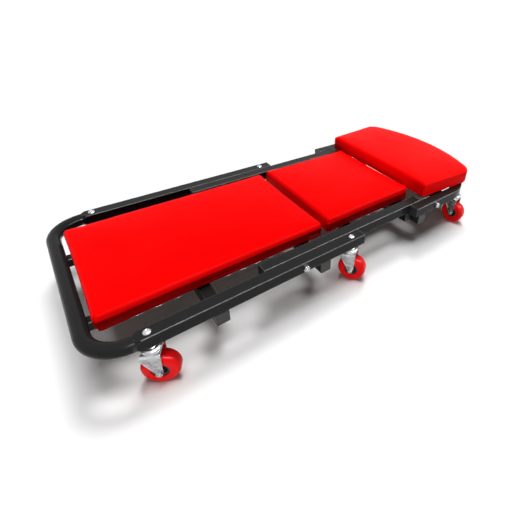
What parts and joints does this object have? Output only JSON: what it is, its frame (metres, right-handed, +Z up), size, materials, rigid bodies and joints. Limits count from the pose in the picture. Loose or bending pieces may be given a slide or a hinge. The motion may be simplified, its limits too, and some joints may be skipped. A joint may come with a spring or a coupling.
{
  "type": "folding mechanic's creeper",
  "caption": "Folding creeper and seat: a hinged three-part tube frame with red padded boards, on swivel casters.",
  "frame": {"origin": "on the floor, midway along the length and midway across", "axes": "+X towards the head end, +Y to the left, +Z up; lying flat as a creeper"},
  "size_m": [1.016, 0.4808, 0.1588],
  "materials": {
    "steel_black": "satin black powder coat",
    "vinyl_red": "glossy red vinyl over foam",
    "board": "bare plywood",
    "zinc": "bright zinc plate",
    "plastic_black": "black moulded plastic",
    "rubber_black": "black rubber",
    "tread_red": "red moulded tread"
  },
  "bodies": {
    "base": {"foot_tube": "steel_black", "base_rail_left": "steel_black", "base_rail_right": "steel_black", "base_foot_cross": "steel_black", "base_stop_cross": "steel_black", "base_pad_bars": "steel_black", "base_plugs": "plastic_black", "back_pad_board": "board", "back_pad_cushion": "vinyl_red", "back_pad_screws": "zinc", "base_caster_screws": "zinc", "base_caster_stems": "zinc", "base_pivot_bolts": "zinc"},
    "middle": {"middle_rail_left": "steel_black", "middle_rail_right": "steel_black", "middle_stop_cross": "steel_black", "middle_pad_bars": "steel_black", "middle_plugs": "plastic_black", "middle_rest_strips": "rubber_black", "middle_pad_board": "board", "middle_pad_cushion": "vinyl_red", "middle_pad_screws": "zinc"},
    "head": {"head_frame": "steel_black", "head_cross": "steel_black", "head_plugs": "plastic_black", "head_strips": "rubber_black", "head_pad_board": "board", "head_pad_cushion": "vinyl_red", "head_pad_screws": "zinc", "head_pivot_bolts": "zinc", "head_caster_stems": "zinc", "head_weld_nuts": "zinc"},
    "foot_left_caster": {"foot_left_fork": "zinc", "foot_left_axle": "zinc"},
    "foot_left_wheel": {"foot_left_hub": "plastic_black", "foot_left_tread": "tread_red"},
    "foot_right_caster": {"foot_right_fork": "zinc", "foot_right_axle": "zinc"},
    "foot_right_wheel": {"foot_right_hub": "plastic_black", "foot_right_tread": "tread_red"},
    "middle_left_caster": {"middle_left_fork": "zinc", "middle_left_axle": "zinc"},
    "middle_left_wheel": {"middle_left_hub": "plastic_black", "middle_left_tread": "tread_red"},
    "middle_right_caster": {"middle_right_fork": "zinc", "middle_right_axle": "zinc"},
    "middle_right_wheel": {"middle_right_hub": "plastic_black", "middle_right_tread": "tread_red"},
    "head_left_caster": {"head_left_fork": "zinc", "head_left_axle": "zinc"},
    "head_left_wheel": {"head_left_hub": "plastic_black", "head_left_tread": "tread_red"},
    "head_right_caster": {"head_right_fork": "zinc", "head_right_axle": "zinc"},
    "head_right_wheel": {"head_right_hub": "plastic_black", "head_right_tread": "tread_red"}
  },
  "joints": [
    {"name": "back_fold", "type": "hinge", "parent": "base", "child": "middle", "pos_m": [-0.1215, 0, 0.1016], "axis": [0, -1, 0], "range_deg": [0, 122]},
    {"name": "seat_fold", "type": "hinge", "parent": "middle", "child": "head", "pos_m": [0.2975, 0, 0.1016], "axis": [0, 1, 0], "range_deg": [0, 122]},
    {"name": "foot_left_swivel", "type": "hinge", "parent": "base", "child": "foot_left_caster", "pos_m": [-0.4145, 0.2033, 0.0889], "axis": [0, 0, 1], "continuous": true},
    {"name": "foot_left_spin", "type": "hinge", "parent": "foot_left_caster", "child": "foot_left_wheel", "pos_m": [-0.40757, 0.2073, 0.03175], "axis": [-0.5, 0.866, 0], "continuous": true},
    {"name": "foot_right_swivel", "type": "hinge", "parent": "base", "child": "foot_right_caster", "pos_m": [-0.4145, -0.2033, 0.0889], "axis": [0, 0, 1], "continuous": true},
    {"name": "foot_right_spin", "type": "hinge", "parent": "foot_right_caster", "child": "foot_right_wheel", "pos_m": [-0.40757, -0.2073, 0.03175], "axis": [0.5, 0.866, 0], "continuous": true},
    {"name": "middle_left_swivel", "type": "hinge", "parent": "base", "child": "middle_left_caster", "pos_m": [0.0103, 0.2033, 0.0889], "axis": [0, 0, 1], "continuous": true},
    {"name": "middle_left_spin", "type": "hinge", "parent": "middle_left_caster", "child": "middle_left_wheel", "pos_m": [0.01477, 0.20993, 0.03175], "axis": [-0.829, 0.5592, 0], "continuous": true},
    {"name": "middle_right_swivel", "type": "hinge", "parent": "base", "child": "middle_right_caster", "pos_m": [0.0103, -0.2033, 0.0889], "axis": [0, 0, 1], "continuous": true},
    {"name": "middle_right_spin", "type": "hinge", "parent": "middle_right_caster", "child": "middle_right_wheel", "pos_m": [0.01477, -0.20993, 0.03175], "axis": [0.829, 0.5592, 0], "continuous": true},
    {"name": "head_left_swivel", "type": "hinge", "parent": "head", "child": "head_left_caster", "pos_m": [0.4145, 0.19445, 0.0889], "axis": [0, 0, 1], "continuous": true},
    {"name": "head_left_spin", "type": "hinge", "parent": "head_left_caster", "child": "head_left_wheel", "pos_m": [0.41589, 0.20233, 0.03175], "axis": [-0.9848, 0.1736, 0], "continuous": true},
    {"name": "head_right_swivel", "type": "hinge", "parent": "head", "child": "head_right_caster", "pos_m": [0.4145, -0.19445, 0.0889], "axis": [0, 0, 1], "continuous": true},
    {"name": "head_right_spin", "type": "hinge", "parent": "head_right_caster", "child": "head_right_wheel", "pos_m": [0.41589, -0.20233, 0.03175], "axis": [0.9848, 0.1736, 0], "continuous": true}
  ]
}
